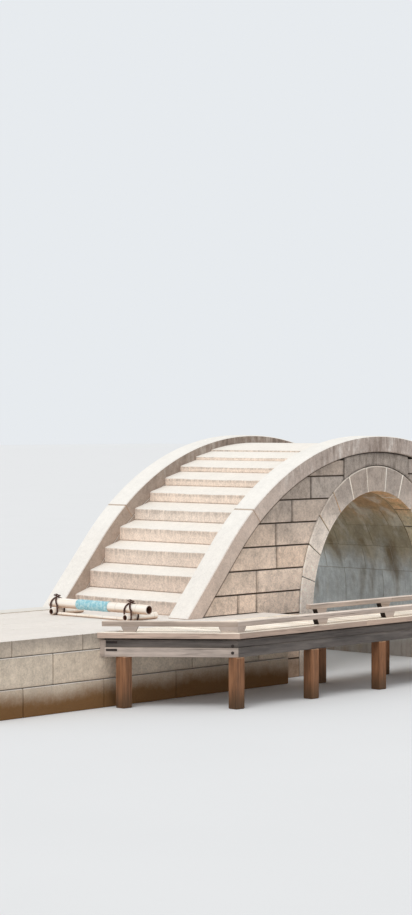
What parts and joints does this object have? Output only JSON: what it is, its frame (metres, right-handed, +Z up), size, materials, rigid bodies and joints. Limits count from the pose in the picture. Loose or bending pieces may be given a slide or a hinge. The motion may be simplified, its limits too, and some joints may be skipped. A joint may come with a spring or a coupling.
{
  "type": "moon bridge",
  "caption": "Steep stone arch footbridge with sloping treads between curved kerbs, stone causeways at both ends and a low-railed timber walk round it.",
  "frame": {"origin": "centre of the footprint, on the plane of the lowest stones and post feet", "axes": "+X along the bridge, +Y across it away from the timber walk, +Z up"},
  "size_m": [16, 4.64, 3.3778],
  "materials": {
    "kerb_granite": "weathered pale granite, bush-hammered",
    "step_granite": "worn pale granite",
    "wall_granite": "weathered grey and pink granite, rough sawn",
    "ring_granite": "weathered granite with pale arrises",
    "vault_stone": "water-stained granite",
    "rubble": "rubble fill",
    "causeway_granite": "granite facing with pale paving",
    "border_granite": "pale granite",
    "walk_boards": "weathered boards",
    "weathered_beam": "grey weathered timber",
    "post_timber": "brown stained timber",
    "rail_timber": "grey weathered timber",
    "bamboo": "dried bamboo",
    "wrap": "faded band",
    "palm_rope": "dark palm rope"
  },
  "bodies": {
    "root": {"bamboo_feet": "bamboo", "bamboo_pole": "bamboo", "bamboo_spacer": "bamboo", "causeway_borders": "border_granite", "cloth_wrap": "wrap", "cross_beams": "weathered_beam", "crown_landing": "step_granite", "far_arch_ring": "ring_granite", "far_crown_kerb": "kerb_granite", "far_crown_stone": "wall_granite", "far_left_kerb": "kerb_granite", "far_left_side_wall": "wall_granite", "far_right_kerb": "kerb_granite", "far_right_side_wall": "wall_granite", "inner_beam": "weathered_beam", "inner_rail": "rail_timber", "left_causeway": "causeway_granite", "left_step_1": "step_granite", "left_step_2": "step_granite", "left_step_3": "step_granite", "left_step_4": "step_granite", "left_step_5": "step_granite", "left_step_6": "step_granite", "left_step_7": "step_granite", "left_step_8": "step_granite", "left_step_9": "step_granite", "left_walk_boards": "walk_boards", "middle_walk_boards": "walk_boards", "near_arch_ring": "ring_granite", "near_crown_kerb": "kerb_granite", "near_crown_stone": "wall_granite", "near_left_kerb": "kerb_granite", "near_left_side_wall": "wall_granite", "near_right_kerb": "kerb_granite", "near_right_side_wall": "wall_granite", "outer_beams": "weathered_beam", "outer_rail": "rail_timber", "rail_blocks": "rail_timber", "right_causeway": "causeway_granite", "right_step_1": "step_granite", "right_step_2": "step_granite", "right_step_3": "step_granite", "right_step_4": "step_granite", "right_step_5": "step_granite", "right_step_6": "step_granite", "right_step_7": "step_granite", "right_step_8": "step_granite", "right_step_9": "step_granite", "right_walk_boards": "walk_boards", "rope_lashings": "palm_rope", "rubble_core": "rubble", "vault": "vault_stone", "walk_posts": "post_timber"}
  },
  "joints": []
}
